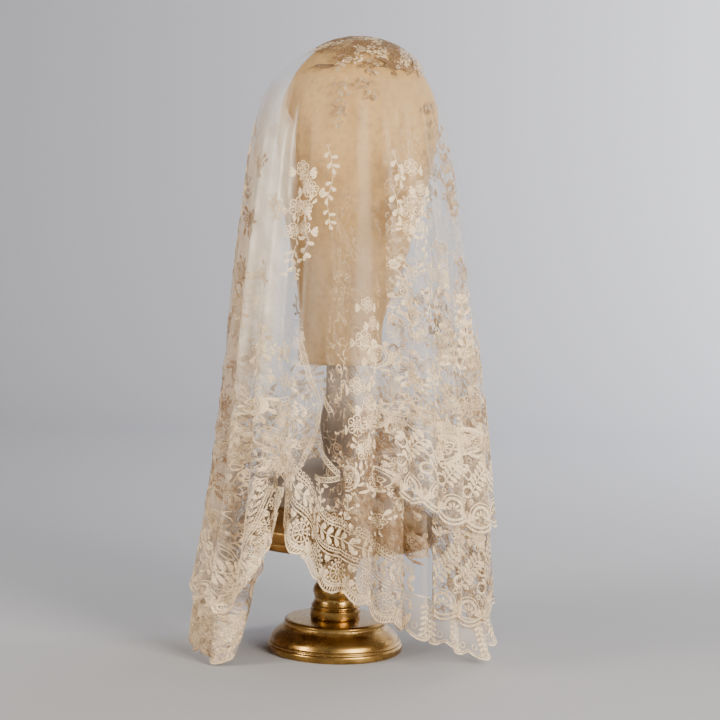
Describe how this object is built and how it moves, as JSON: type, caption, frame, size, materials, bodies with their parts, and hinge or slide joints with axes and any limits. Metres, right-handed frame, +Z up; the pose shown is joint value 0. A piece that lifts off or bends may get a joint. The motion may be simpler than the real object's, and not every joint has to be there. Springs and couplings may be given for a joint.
{
  "type": "two-tier lace bridal veil on a head form and turned table stand",
  "caption": "Scalloped lace bridal veil in two tiers, draped open at the front over a smooth head form on a turned metal and wood table stand.",
  "frame": {"origin": "centre of the base's underside, on the table", "axes": "+Z up along the stand, -Y out of the veil's open front, +X to the right as the front is seen"},
  "size_m": [0.3292, 0.2991, 0.6488],
  "materials": {
    "lace": "fine cotton net embroidered in ivory and champagne thread",
    "linen": "tan linen stretched smooth over the form",
    "gold": "satin gold leaf, a little rubbed on the edges",
    "bronze": "dark gold-brown lacquer",
    "taupe": "turned wood, taupe satin paint"
  },
  "bodies": {
    "root": {"crown_cap": "lace", "long_front": "lace", "long_right": "lace", "long_back": "lace", "long_left": "lace", "short_right": "lace", "short_back": "lace", "short_left": "lace", "underlay_right": "lace", "head_form": "linen", "stand_base": "gold", "stand_collar": "gold", "stand_dish": "bronze", "stand_shoulder": "taupe", "stand_stem": "taupe"}
  },
  "joints": []
}
